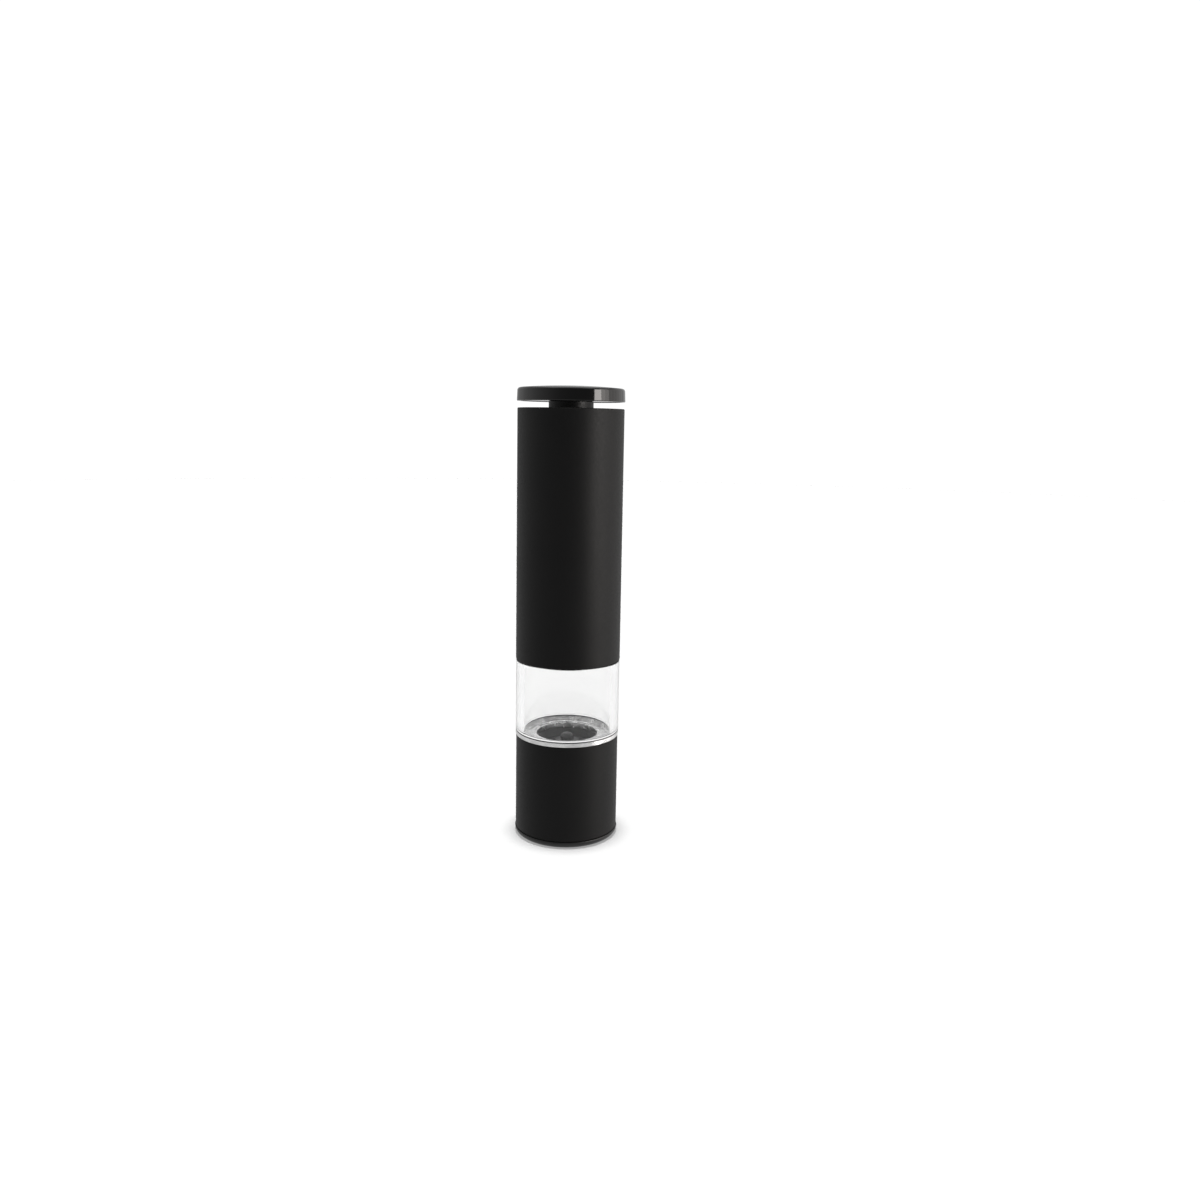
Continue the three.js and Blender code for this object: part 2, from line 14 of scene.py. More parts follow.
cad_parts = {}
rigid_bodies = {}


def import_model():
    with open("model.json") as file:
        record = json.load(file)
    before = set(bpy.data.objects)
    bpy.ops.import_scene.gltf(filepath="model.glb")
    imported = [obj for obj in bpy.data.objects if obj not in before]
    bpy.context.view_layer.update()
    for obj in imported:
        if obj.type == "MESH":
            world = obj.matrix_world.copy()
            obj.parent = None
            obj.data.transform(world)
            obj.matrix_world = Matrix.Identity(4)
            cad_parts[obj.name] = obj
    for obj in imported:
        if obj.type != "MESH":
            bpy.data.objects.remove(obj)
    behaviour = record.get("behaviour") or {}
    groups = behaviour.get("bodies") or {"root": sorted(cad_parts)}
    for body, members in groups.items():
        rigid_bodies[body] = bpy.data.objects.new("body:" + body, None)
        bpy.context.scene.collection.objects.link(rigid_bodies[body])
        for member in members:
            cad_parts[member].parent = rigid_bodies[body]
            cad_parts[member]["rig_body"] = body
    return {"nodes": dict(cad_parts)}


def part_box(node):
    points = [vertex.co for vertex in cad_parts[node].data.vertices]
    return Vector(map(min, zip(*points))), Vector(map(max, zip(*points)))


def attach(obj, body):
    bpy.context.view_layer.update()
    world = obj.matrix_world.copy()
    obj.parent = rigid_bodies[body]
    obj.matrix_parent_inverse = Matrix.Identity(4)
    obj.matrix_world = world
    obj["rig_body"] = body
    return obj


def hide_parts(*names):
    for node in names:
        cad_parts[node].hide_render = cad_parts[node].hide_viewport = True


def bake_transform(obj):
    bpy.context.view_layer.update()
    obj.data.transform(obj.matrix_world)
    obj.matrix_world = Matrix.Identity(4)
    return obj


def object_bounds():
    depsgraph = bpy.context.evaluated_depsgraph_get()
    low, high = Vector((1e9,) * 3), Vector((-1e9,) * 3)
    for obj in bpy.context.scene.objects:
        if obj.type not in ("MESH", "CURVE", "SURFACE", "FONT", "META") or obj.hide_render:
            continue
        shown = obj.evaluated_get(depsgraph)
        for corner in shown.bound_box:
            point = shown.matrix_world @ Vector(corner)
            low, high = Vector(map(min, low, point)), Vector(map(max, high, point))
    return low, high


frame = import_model()
cad_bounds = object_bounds()

MM = 0.001
SEGMENTS = 160
SMALL_SEGMENTS = 64
BODY_OF = {node: obj["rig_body"] for node, obj in frame["nodes"].items()}
ARMS = 3
BOSS_TURN = math.pi / 3


# ---- nodes and materials ---------------------------------------------------------------------------
class Graph:
    """A material's node tree, with short calls for the nodes that the finishes are made of."""

    def __init__(self, name):
        self.material = bpy.data.materials.new(name)
        self.material.use_nodes = True
        self.tree = self.material.node_tree
        self.shader = self.tree.nodes["Principled BSDF"]
        self.point = self.node("ShaderNodeTexCoord").outputs["Object"]

    def node(self, kind, settings=None, **inputs):
        made = self.tree.nodes.new(kind)
        for key, value in (settings or {}).items():
            setattr(made, key, value)
        for key, value in inputs.items():
            self.put(made.inputs[key.replace("_", " ")], value)
        return made

    def put(self, socket, value):
        if isinstance(value, bpy.types.NodeSocket):
            self.tree.links.new(value, socket)
        else:
            socket.default_value = value

    def math(self, operation, a, b=0.0):
        made = self.node("ShaderNodeMath", {"operation": operation})
        self.put(made.inputs[0], a)
        self.put(made.inputs[1], b)
        return made.outputs[0]

    def noise(self, scale, detail=3.0, vector=None):
        """Noise from 0 to 1; scale is in features per metre."""
        made = self.node("ShaderNodeTexNoise", Scale=scale, Detail=detail, Roughness=0.55)
        self.put(made.inputs["Vector"], vector or self.point)
        return made.outputs["Fac"]

    def cells(self, scale):
        made = self.node("ShaderNodeTexVoronoi", Scale=scale, Vector=self.point)
        return made.outputs["Distance"]

    def spread(self, value, low, high, start=0.3, end=0.7):
        """Maps a noise value onto a range."""
        made = self.node("ShaderNodeMapRange", Value=value, From_Min=start, From_Max=end)
        self.put(made.inputs["To Min"], low)
        self.put(made.inputs["To Max"], high)
        return made.outputs["Result"]

    def between(self, value, low, high):
        """Mixes two colours, or greys given as one number, by a noise value."""
        ramp = self.node("ShaderNodeValToRGB", Fac=value)
        for element, position, tone in zip(ramp.color_ramp.elements, (0.3, 0.7), (low, high)):
            element.position = position
            element.color = (*tone, 1) if isinstance(tone, tuple) else (tone, tone, tone, 1)
        return ramp.outputs["Color"]

    def radius(self):
        """Distance from the mill's axis."""
        x, y, _ = self.node("ShaderNodeSeparateXYZ", Vector=self.point).outputs
        return self.math("SQRT", self.math("ADD", self.math("POWER", x, 2.0), self.math("POWER", y, 2.0)))

    def mixed(self, share, first, second):
        made = self.node("ShaderNodeMix", {"data_type": "RGBA"}, Factor=share)
        self.put(made.inputs["A"], first)
        self.put(made.inputs["B"], second)
        return made.outputs["Result"]

    def round_the_axis(self, across, along):
        """Coordinates for turned work: fine across the tool's path, long along it."""
        x, y, z = self.node("ShaderNodeSeparateXYZ", Vector=self.point).outputs
        radius = self.radius()
        angle = self.math("ARCTAN2", y, x)
        joined = self.node("ShaderNodeCombineXYZ")
        self.put(joined.inputs["X"], self.math("MULTIPLY", radius, across))
        self.put(joined.inputs["Y"], self.math("MULTIPLY", angle, along))
        self.put(joined.inputs["Z"], self.math("MULTIPLY", z, across))
        return joined.outputs["Vector"]

    def bump(self, height, distance, strength=1.0, under=None):
        made = self.node("ShaderNodeBump", Height=height, Distance=distance, Strength=strength)
        if under is not None:
            self.put(made.inputs["Normal"], under)
        return made.outputs["Normal"]

    def finish(self, **values):
        for key, value in values.items():
            self.put(self.shader.inputs[key.replace("_", " ")], value)
        return self.material


def soft_touch():
    g = Graph("soft_touch_coating")
    haze = g.noise(60.0, 4.0)
    grain = g.noise(5200.0, 2.0)
    specks = g.noise(900.0, 2.0)
    return g.finish(
        Base_Color=g.between(haze, (0.0026, 0.0026, 0.0027), (0.0038, 0.0037, 0.0036)),
        Roughness=g.spread(specks, 0.46, 0.54),
        Normal=g.bump(grain, 0.00002, 0.35),
        Specular_IOR_Level=0.2,
    )


def gloss_black():
    g = Graph("polished_black")
    smear = g.noise(130.0, 4.0)
    ripple = g.noise(240.0, 2.0)
    return g.finish(
        Base_Color=g.between(smear, (0.0022, 0.0022, 0.0023), (0.0034, 0.0033, 0.0033)),
        Roughness=g.spread(smear, 0.05, 0.09),
        Normal=g.bump(ripple, 0.00002, 0.5),
        Specular_IOR_Level=0.5,
    )


def clear_acrylic():
    g = Graph("clear_acrylic")
    flow = g.noise(45.0, 2.0)
    return g.finish(
        Base_Color=g.between(flow, 0.950, 0.960),
        Normal=g.bump(flow, 0.00001, 0.15),
        Roughness=0.012,
        IOR=1.49,
        Transmission_Weight=1.0,
    )


def satin_aluminium():
    """Turned metal with painted light: the outer rim is painted paler than the face inside, so the band
    outside the chamber reads brightly lit.
    """
    g = Graph("satin_aluminium")
    turning = g.noise(1.0, 3.0, g.round_the_axis(5200.0, 2.6))
    patches = g.noise(1.0, 3.0, g.round_the_axis(420.0, 5.0))
    painted_light_start, painted_light_full = 0.0234, 0.0238
    face = g.between(patches, 0.36, 0.76)
    # Painted light: the rim tone is the same metal made paler, standing in for the bright reflection on the
    # outer band.
    rim = g.between(patches, 0.68, 0.96)
    return g.finish(
        Base_Color=g.mixed(g.spread(g.radius(), 0.0, 1.0, painted_light_start, painted_light_full), face, rim),
        Metallic=1.0,
        Roughness=g.spread(patches, 0.12, 0.30),
        Normal=g.bump(turning, 0.00004, 0.45, under=g.bump(patches, 0.0002, 0.35)),
        Anisotropic=0.35,
    )


def moulded_plastic(name, low, high, roughness, grain_scale, level=0.5):
    g = Graph(name)
    tone = g.noise(150.0, 4.0)
    grain = g.noise(grain_scale, 3.0)
    return g.finish(
        Base_Color=g.between(tone, low, high),
        Roughness=g.spread(grain, roughness - 0.06, roughness + 0.06),
        Normal=g.bump(grain, 0.00003, 0.3),
        Specular_IOR_Level=level,
    )


def ceramic():
    g = Graph("sintered_ceramic")
    tone = g.noise(1400.0, 4.0)
    pores = g.cells(5200.0)
    return g.finish(
        Base_Color=g.between(tone, (0.014, 0.014, 0.015), (0.026, 0.026, 0.028)),
        Roughness=g.spread(tone, 0.40, 0.54),
        Normal=g.bump(pores, 0.00003, 0.5),
    )


def turned_metal(name, low, high, roughness):
    g = Graph(name)
    marks = g.noise(1.0, 3.0, g.round_the_axis(7000.0, 3.0))
    tone = g.noise(700.0, 3.0)
    return g.finish(
        Base_Color=g.between(tone, low, high),
        Metallic=1.0,
        Roughness=g.spread(tone, roughness - 0.07, roughness + 0.09),
        Normal=g.bump(marks, 0.00003, 0.4),
    )


MATERIALS = {
    "soft_touch_black": soft_touch(),
    "gloss_black": gloss_black(),
    "clear_acrylic": clear_acrylic(),
    "satin_aluminium": satin_aluminium(),
    "black_plastic": moulded_plastic("moulded_black", 0.008, 0.012, 0.42, 2600.0, 0.38),
    "ceramic": ceramic(),
    "steel": turned_metal("bright_steel", (0.50, 0.51, 0.52), (0.62, 0.63, 0.64), 0.26),
    "brass": turned_metal("machined_brass", (0.55, 0.36, 0.13), (0.68, 0.47, 0.20), 0.28),
    "silicone": moulded_plastic(
        "silicone_rubber", (0.010, 0.010, 0.011), (0.016, 0.016, 0.017), 0.66, 1500.0
    ),
    "acetal": moulded_plastic("machined_acetal", (0.70, 0.70, 0.67), (0.80, 0.80, 0.77), 0.42, 1800.0),
}


# ---- mesh helpers ----------------------------------------------------------------------------------
def span(node):
    """(bottom, top, radius) of a CAD node, in millimetres."""
    low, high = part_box(node)
    return low.z / MM, high.z / MM, high.x / MM


def rounded(profile, steps=5):
    """The profile with an arc at each point that names a rounding."""
    points = []
    for i, corner in enumerate(profile):
        here = Vector(corner[:2])
        if len(corner) < 3:
            points.append(here)
            continue
        back = (Vector(profile[i - 1][:2]) - here).normalized()
        ahead = (Vector(profile[(i + 1) % len(profile)][:2]) - here).normalized()
        half = back.angle(ahead) / 2
        centre = here + (back + ahead).normalized() * corner[2] / math.sin(half)
        first = here + back * corner[2] / math.tan(half) - centre
        last = here + ahead * corner[2] / math.tan(half) - centre
        turn = first.angle(last) * (1 if first.cross(last) > 0 else -1)
        for k in range(steps + 1):
            points.append(centre + Matrix.Rotation(turn * k / steps, 2) @ first)
    return points


def arc(radius, height, size, start, end, steps):
    """Profile points of an arc about [radius, height], between two angles in degrees."""
    angles = [math.radians(start + (end - start) * i / steps) for i in range(steps + 1)]
    return [(radius + size * math.cos(a), height + size * math.sin(a)) for a in angles]


def lofted(levels, segments):
    """A solid round the axis. Each level is (height, radius or radius as a function of the angle)."""
    bm = bmesh.new()
    angles = [2 * math.pi * i / segments for i in range(segments)]
    rings = []
    for height, radius in levels:
        at = radius if callable(radius) else (lambda angle, r=radius: r)
        if at(0) < 1e-6:
            rings.append([bm.verts.new((0, 0, height * MM))])
        else:
            spots = [(at(a) * math.cos(a) * MM, at(a) * math.sin(a) * MM, height * MM) for a in angles]
            rings.append([bm.verts.new(spot) for spot in spots])
    for low, high in zip(rings, rings[1:] + rings[:1]):
        if len(low) == len(high) == 1:
            continue
        for i in range(segments):
            j = (i + 1) % segments
            corners = [low[i % len(low)], low[j % len(low)], high[j % len(high)], high[i % len(high)]]
            bm.faces.new(dict.fromkeys(corners))
    bmesh.ops.recalc_face_normals(bm, faces=bm.faces)
    return bm


def turned(profile, segments=SEGMENTS, steps=5):
    return lofted([(height, radius) for radius, height in rounded(profile, steps)], segments)


def washer(inner, outer, bottom, top, edge=0.12, segments=SMALL_SEGMENTS):
    corners = [(outer, bottom), (outer, top), (inner, top), (inner, bottom)]
    return turned([(*corner, edge) for corner in corners], segments, 3)


def o_ring(node):
    low, high, outer = span(node)
    thickness = (high - low) / 2
    return turned(arc(outer - thickness, (low + high) / 2, thickness, 0, 345, 23), 96)


def block(width, depth, bottom, top, turn=0.0, out=0.0, edge=0.0):
    """A box that lies at a distance out from the axis, at an angle about it."""
    bm = bmesh.new()
    bmesh.ops.create_cube(bm, size=1)
    size = Matrix.Diagonal((width * MM, depth * MM, (top - bottom) * MM, 1))
    place = Matrix.Translation((out * MM, 0, (bottom + top) / 2 * MM))
    bm.transform(Matrix.Rotation(turn, 4, "Z") @ place @ size)
    if edge:
        bmesh.ops.bevel(bm, geom=bm.edges[:], offset=edge * MM, segments=3, profile=0.5, affect="EDGES")
    return bm


def shifted(bm, x, y):
    bm.transform(Matrix.Translation((x * MM, y * MM, 0)))
    return bm


def temporary(bm):
    mesh = bpy.data.meshes.new("temporary")
    bm.to_mesh(mesh)
    bm.free()
    obj = bpy.data.objects.new("temporary", mesh)
    bpy.context.scene.collection.objects.link(obj)
    return obj


def combined(bm, others, operation):
    """The mesh joined with the others, or cut by them."""
    base = temporary(bm)
    tools = [temporary(other) for other in others]
    for tool in tools:
        modifier = base.modifiers.new("cut", "BOOLEAN")
        modifier.operation = operation
        modifier.solver = "EXACT"
        modifier.object = tool
    depsgraph = bpy.context.evaluated_depsgraph_get()
    result = bmesh.new()
    result.from_object(base, depsgraph)
    for obj in [base, *tools]:
        mesh = obj.data
        bpy.data.objects.remove(obj)
        bpy.data.meshes.remove(mesh)
    return result


def around(count, make, offset=0.0):
    return [make(offset + 2 * math.pi * i / count) for i in range(count)]


def piece(bm, node, slot, sharp=32.0):
    """Puts a finished mesh in the scene in the place of its CAD node."""
    name = node + "_piece"
    mesh = bpy.data.meshes.new(name)
    bm.to_mesh(mesh)
    bm.free()
    mesh.shade_smooth()
    mesh.set_sharp_from_angle(angle=math.radians(sharp))
    mesh.materials.append(MATERIALS[slot])
    obj = bpy.data.objects.new(name, mesh)
    bpy.context.scene.collection.objects.link(obj)
    normals = obj.modifiers.new("even_normals", "WEIGHTED_NORMAL")
    normals.keep_sharp = True
    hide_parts(node)
    return obj


def place(bm, node, slot, sharp=32.0):
    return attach(piece(bm, node, slot, sharp), BODY_OF[node])


def sawtooth(radius, teeth, depth, twist=0.0):
    """A toothed wall whose teeth are cut inwards from the radius, with a small flat on each tip."""

    def at(angle):
        turns = teeth * (angle + twist) / (2 * math.pi)
        share = turns - math.floor(turns)
        return radius - depth * min(max(share - 0.06, 0) / 0.82, (1 - share) / 0.12, 1)

    return at


def smooth_levels(levels, steps):
    """Levels with more in between, each row (height, radius, depth, twist)."""
    rows = []
    for low, high in zip(levels, levels[1:]):
        for k in range(steps):
            rows.append(tuple(a + (b - a) * k / steps for a, b in zip(low, high)))
    return rows + [levels[-1]]


# ---- cap -------------------------------------------------------------------------------------------
def make_dust_cap():
    bottom, top, radius = span("dust_cap")
    seam = bottom + 3.1
    rim = 2.8
    spigot = radius - 2.4
    groove = spigot - 1.2
    place(
        turned([
            (0, bottom + 0.6),
            (16.4, bottom + 0.6, 0.4),
            (17.1, bottom, 0.3),
            *arc(radius - rim, bottom + rim, rim, -90, 0, 14),
            (radius - 0.15, seam, 0.08),
            (spigot, seam, 0.2),
            (spigot, bottom + 6.0, 0.1),
            (groove, bottom + 6.0, 0.1),
            (groove, bottom + 7.2, 0.1),
            (spigot, bottom + 7.2, 0.1),
            (spigot - 0.3, top, 0.3),
            (spigot - 2, top, 0.3),
            (spigot - 2, bottom + 2.3, 0.9),
            (0, bottom + 2.3),
        ]),
        "dust_cap",
        "black_plastic",
    )
    place(o_ring("cap_ring"), "cap_ring", "silicone")


# ---- base ------------------------------------------------------------------------------------------
SPIDER_SCREW_RADIUS = 21.0
HOUSING_SCREW_RADIUS = 18.6
PILOT = 0.9


def hole(radius, bottom, top, out, turn):
    drill = turned([(0, bottom), (radius, bottom), (radius, top), (0, top)], 24)
    return shifted(drill, out * math.cos(turn), out * math.sin(turn))


def make_base_shell():
    bottom, top, radius = span("base_shell")
    bore = radius - 1.8
    web_bottom, web_top, web_bore = top - 10, top - 5.8, 20.5
    lip = 0.4
    shell = turned([
        (radius, bottom, lip),
        (radius, top, lip),
        (bore, top, 0.2),
        (bore, web_top, 0.2),
        (web_bore, web_top, 0.2),
        (web_bore, web_bottom, 0.2),
        (bore, web_bottom, 0.2),
        (bore, bottom, 0.2),
    ])
    inner, width = 19.4, 7.6
    length = bore + 0.8 - inner
    low, high = top - 22.6, top - 19
    bosses = around(ARMS, lambda a: block(length, width, low, high, a, inner + length / 2, 0.4), BOSS_TURN)
    pilots = around(ARMS, lambda a: hole(PILOT, low - 1, high - 0.6, SPIDER_SCREW_RADIUS, a), BOSS_TURN)
    shell = combined(combined(shell, bosses, "UNION"), pilots, "DIFFERENCE")
    place(shell, "base_shell", "soft_touch_black")
    for node in ("upper_washer", "lower_washer"):
        low, high, outer = span(node)
        place(washer(web_bore + 0.1, outer, low, high, segments=SEGMENTS), node, "acetal")


def make_spider():
    bottom, top, radius = span("outlet_spider")
    plate = top - 3.8
    hub = 6.4
    ring_bore = 18.4
    start, end = hub - 1, ring_bore + 1
    rim = turned([
        (radius, plate, 0.3),
        (radius, top, 0.2),
        (ring_bore, top, 0.4),
        (ring_bore, plate, 0.4),
    ])
    boss = turned([(0, bottom), (hub, bottom, 0.8), (hub, top, 0.3), (0, top)], SMALL_SEGMENTS)
    arms = around(ARMS, lambda a: block(end - start, 4.6, plate, top, a, (start + end) / 2, 0.5), BOSS_TURN)
    bore = block(4.5, 4.5, bottom - 1, top + 1)
    holes = around(ARMS, lambda a: hole(1.0, plate - 1, top + 1, SPIDER_SCREW_RADIUS, a), BOSS_TURN)
    body = combined(combined(rim, [boss, *arms], "UNION"), [bore, *holes], "DIFFERENCE")
    place(body, "outlet_spider", "black_plastic")


def make_screws():
    for node in [n for n in BODY_OF if "screw" in n]:
        low, high = (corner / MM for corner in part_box(node))
        large = node == "lid_screw"
        head, shank = (2.8, 1.2) if large else (1.5, 0.8)
        head_height = {"lid": 1.8, "spi": 1.1, "hou": 1.2}[node[:3]]
        underside = low.z + head_height
        body = turned([
            (0, low.z),
            (head * 0.75, low.z, head * 0.25),
            (head, low.z + head_height * 0.5, head * 0.18),
            (head, underside, 0.08),
            (shank, underside, 0.1),
            (shank, high.z - shank, 0.1),
            (0, high.z),
        ], 48, 4)
        depth = low.z + head_height * 0.5
        slots = [block(head * 1.1, head * 0.28, low.z - 1, depth, turn) for turn in (0, math.pi / 2)]
        body = combined(body, slots, "DIFFERENCE")
        place(shifted(body, (low.x + high.x) / 2, (low.y + high.y) / 2), node, "steel")


# ---- cone, spindle, spring and dial ----------------------------------------------------------------
def square(side, corner):
    """A square bar's radius by angle, its corners cut back to a circle."""
    return lambda angle: min(side / 2 / max(abs(math.cos(angle)), abs(math.sin(angle))), corner)


def make_rotor():
    bottom, top, radius = span("rotor_cone")
    fine = smooth_levels([(bottom, radius, 1, 0), (bottom + 2.8, radius - 1.2, 1, 0.05)], 4)
    coarse = smooth_levels(
        [
            (bottom + 3.2, radius - 1.5, 1.4, 0.2),
            (bottom + 6, radius - 2.6, 1.7, 0.45),
            (bottom + 8.6, radius - 4, 1.7, 0.7),
            (top, radius - 5.6, 1.2, 0.9),
        ],
        5,
    )
    bore = square(4.5, 3.0)
    levels = [(z, sawtooth(r, 24, depth, twist)) for z, r, depth, twist in fine]
    levels += [(z, sawtooth(r, 6, depth, twist)) for z, r, depth, twist in coarse]
    place(lofted([*levels, (top, bore), (bottom, bore)], 288), "rotor_cone", "ceramic", 40)

    low, high, _ = span("spindle")
    hub = span("outlet_spider")[0]
    bar = square(4.1, 2.62)
    neck, rod = 1.9, 2.0
    place(
        lofted([
            (low, 0), (low, rod - 0.3), (low + 0.3, rod), (hub + 0.1, rod), (hub + 0.1, bar),
            (top - 0.1, bar), (top - 0.1, neck), (high - 0.2, neck), (high, neck - 0.2), (high, 0),
        ], 96),
        "spindle",
        "steel",
    )

    low, high, corner = span("rotor_nut")
    across = corner * math.cos(math.pi / 6)

    def hexagon(shrink):
        def at(angle):
            flat = (angle + math.pi / 6) % (math.pi / 3) - math.pi / 6
            return (across - shrink) / math.cos(flat - math.pi / 6 if flat > 0 else flat + math.pi / 6)

        return at

    hexed = [
        (low, hexagon(0.15)),
        (low + 0.15, hexagon(0)),
        (low + 2.05, hexagon(0)),
        (low + 2.2, hexagon(0.2)),
    ]
    dome_radius, dome_height, bore, depth = 2.9, 1.6, 2.1, 2.8
    dome = [(low + 2.3, dome_radius)]
    for a in (math.radians(k) for k in range(5, 90, 9)):
        dome.append((high - dome_height + dome_height * math.sin(a), dome_radius * math.cos(a)))
    dome.append((high, 0))
    inner = [(low + depth, 0), (low + depth, bore), (low, bore)]
    place(lofted([*hexed, *dome, *inner], 96), "rotor_nut", "black_plastic")


def make_spring():
    low, high, outer = span("rotor_spring")
    wire = 0.45
    turns, steps, sides = 4.5, 216, 12
    radius = outer - wire
    bm = bmesh.new()
    rings = []
    for i in range(steps + 1):
        share = i / steps
        angle = 2 * math.pi * turns * share
        # The end coils lie flatter than those between them.
        rise = 0.6 * share + 0.4 * share * share * (3 - 2 * share)
        height = low + wire + (high - low - 2 * wire) * rise
        slope = (high - low) * (0.6 + 2.4 * share * (1 - share)) / (2 * math.pi * turns * radius)
        outward = Vector((math.cos(angle), math.sin(angle), 0))
        upward = Vector((math.sin(angle) * slope, -math.cos(angle) * slope, 1)).normalized()
        centre = outward * radius + Vector((0, 0, height))
        loop = []
        for k in range(sides):
            a = 2 * math.pi * k / sides
            loop.append(bm.verts.new((centre + (outward * math.cos(a) + upward * math.sin(a)) * wire) * MM))
        rings.append(loop)
    for first, second in zip(rings, rings[1:]):
        for k in range(sides):
            m = (k + 1) % sides
            bm.faces.new((first[k], first[m], second[m], second[k]))
    bm.faces.new(rings[0])
    bm.faces.new(rings[-1])
    bmesh.ops.recalc_face_normals(bm, faces=bm.faces)
    spring = piece(bm, "rotor_spring", "steel")
    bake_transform(spring)


def make_dial():
    bottom, top, radius = span("adjuster_dial")
    scallops = 12

    def knurl(depth):
        return lambda angle: radius - depth - 0.35 * (1 - math.cos(scallops * angle))

    edge = [(k, 0.8 * (1 - math.cos(math.radians(90 * k / 6)))) for k in range(7)]
    rise = [0.8 * math.sin(math.radians(90 * k / 6)) for k in range(7)]
    lower = [(bottom + 0.8 - rise[k], knurl(edge[k][1])) for k in reversed(range(7))]
    upper = [(top - 0.8 + rise[k], knurl(edge[k][1])) for k in range(7)]
    bore = [(top, 4.2), (top - 0.2, 4.0), (bottom + 0.2, 4.0), (bottom, 4.2)]
    place(lofted([*lower, *upper, *bore], 192), "adjuster_dial", "black_plastic")
    low, high, outer = span("dial_insert")
    place(washer(2.15, outer, low, high, 0.2), "dial_insert", "brass")
    for node, inner in (("dial_washer", 3.2), ("spring_washer", 3.1)):
        low, high, outer = span(node)
        place(washer(inner, outer, low, high), node, "steel")


# ---- chamber floor and the grinder's fixed half ----------------------------------------------------
def make_floor_ring():
    bottom, top, radius = span("floor_ring")
    flange_bottom = top - 1.9
    floor = flange_bottom + 0.4
    plug_bottom = bottom + 6.8
    lip = top - 0.4
    mouth, well, seat = 14.4, 19.9, 21.0
    skirt, skirt_bore, plug = 20.2, 16.9, 22.55
    underside = floor - 2.5
    groove_outer, groove_inner, groove_floor = 17.6, 15.7, floor - 0.12
    groove_slope = 0.2
    ring = turned([
        (mouth, underside, 0.15),
        (skirt_bore, underside, 0.2),
        (skirt_bore, bottom, 0.2),
        (skirt, bottom, 0.3),
        (skirt, plug_bottom, 0.3),
        (plug, plug_bottom, 0.3),
        (plug, flange_bottom, 0.15),
        (radius, flange_bottom, 0.1),
        (radius, top, 0.12),
        (seat, top, 0.12),
        (seat, lip, 0.1),
        (well, lip, 0.12),
        (well, floor, 0.2),
        (groove_outer, floor, 0.3),
        (groove_outer - groove_slope, groove_floor, 0.2),
        (groove_inner + groove_slope, groove_floor, 0.2),
        (groove_inner, floor, 0.2),
        (mouth + 0.28, floor, 0.15),
        (mouth, floor - 2.1, 0.2),
    ], SEGMENTS)
    pilots = around(ARMS, lambda a: hole(PILOT, bottom - 1, bottom + 5, HOUSING_SCREW_RADIUS, a))
    place(combined(ring, pilots, "DIFFERENCE"), "floor_ring", "satin_aluminium")


def make_housing():
    bottom, top, radius = span("grinder_housing")
    barrel, pocket, lip = 16.7, 15.5, 13.4
    flange_bottom, flange_top = bottom + 3.7, bottom + 5.9
    body = turned([
        (barrel, bottom, 0.3),
        (barrel, flange_bottom, 0.3),
        (radius, flange_bottom, 0.3),
        (radius, flange_top, 0.3),
        (barrel, flange_top, 0.2),
        (barrel, top, 0.3),
        (pocket, top, 0.2),
        (pocket, bottom + 1.4, 0.1),
        (lip, bottom + 1.4, 0.2),
        (lip, bottom, 0.3),
    ])
    low, high = flange_bottom - 1, flange_top + 1
    holes = around(ARMS, lambda a: hole(1.05, low, high, HOUSING_SCREW_RADIUS, a))
    notches = around(ARMS, lambda a: block(5, 8.8, low, high, a, 21.5), BOSS_TURN)
    place(combined(body, holes + notches, "DIFFERENCE"), "grinder_housing", "black_plastic")


def make_stator():
    bottom, top, radius = span("stator_ring")
    waist = bottom + 4.2
    coarse = smooth_levels([(top, 14.6, 1, 0.3), (top - 2.4, 14, 1.2, 0.2)], 4)
    coarse += smooth_levels([(top - 2.5, 14, 1.2, 0.2), (waist + 0.2, 12.2, 1.1, 0.1)], 4)
    fine = smooth_levels([(waist, 12.1, 1, 0), (bottom + 1.2, 13.3, 1, 0), (bottom, 13.6, 1, 0)], 4)
    outside = [(bottom, radius - 0.2), (bottom + 0.2, radius), (top - 0.2, radius), (top, radius - 0.2)]
    wall = [(z, sawtooth(r, 12, depth, twist)) for z, r, depth, twist in coarse]
    wall += [(z, sawtooth(r, 24, depth, twist)) for z, r, depth, twist in fine]
    place(lofted(outside + wall, 288), "stator_ring", "ceramic", 40)


def make_funnel():
    bottom, top, radius = span("feed_funnel")
    throat = 14.3
    body = turned([
        (radius, bottom, 0.2),
        (radius, top, 0.2),
        (throat + 0.5, top, 0.2),
        (throat, top - 1.5, 0.4),
        (throat, bottom, 0.2),
    ])
    ribs = around(4, lambda a: block(1.6, 1.4, bottom + 0.02, top - 1.6, a, throat - 0.4, 0.25))
    place(combined(body, ribs, "UNION"), "feed_funnel", "black_plastic")


# ---- chamber, sleeve and top plate -----------------------------------------------------------------
def make_chamber():
    low, high, outer = span("chamber_gasket")
    place(washer(21.2, outer, low, high, 0.15, SEGMENTS), "chamber_gasket", "silicone")
    bottom, top, radius = span("clear_chamber")
    sleeve_bottom = span("sleeve")[0]
    shoulder = sleeve_bottom - 0.2
    liner, bore = 23.4, 21.0
    place(
        turned([
            (radius, bottom, 0.12),
            (radius, shoulder, 0.5),
            (liner, shoulder, 0.15),
            (liner, top, 0.2),
            (bore, top, 0.3),
            (bore, bottom, 0.25),
        ], 256),
        "clear_chamber",
        "clear_acrylic",
    )


def make_sleeve():
    bottom, top, radius = span("sleeve")
    bore = radius - 1.4
    place(
        turned([(radius, bottom, 0.4), (radius, top, 0.45), (bore, top, 0.3), (bore, bottom, 0.2)], 256),
        "sleeve",
        "soft_touch_black",
    )


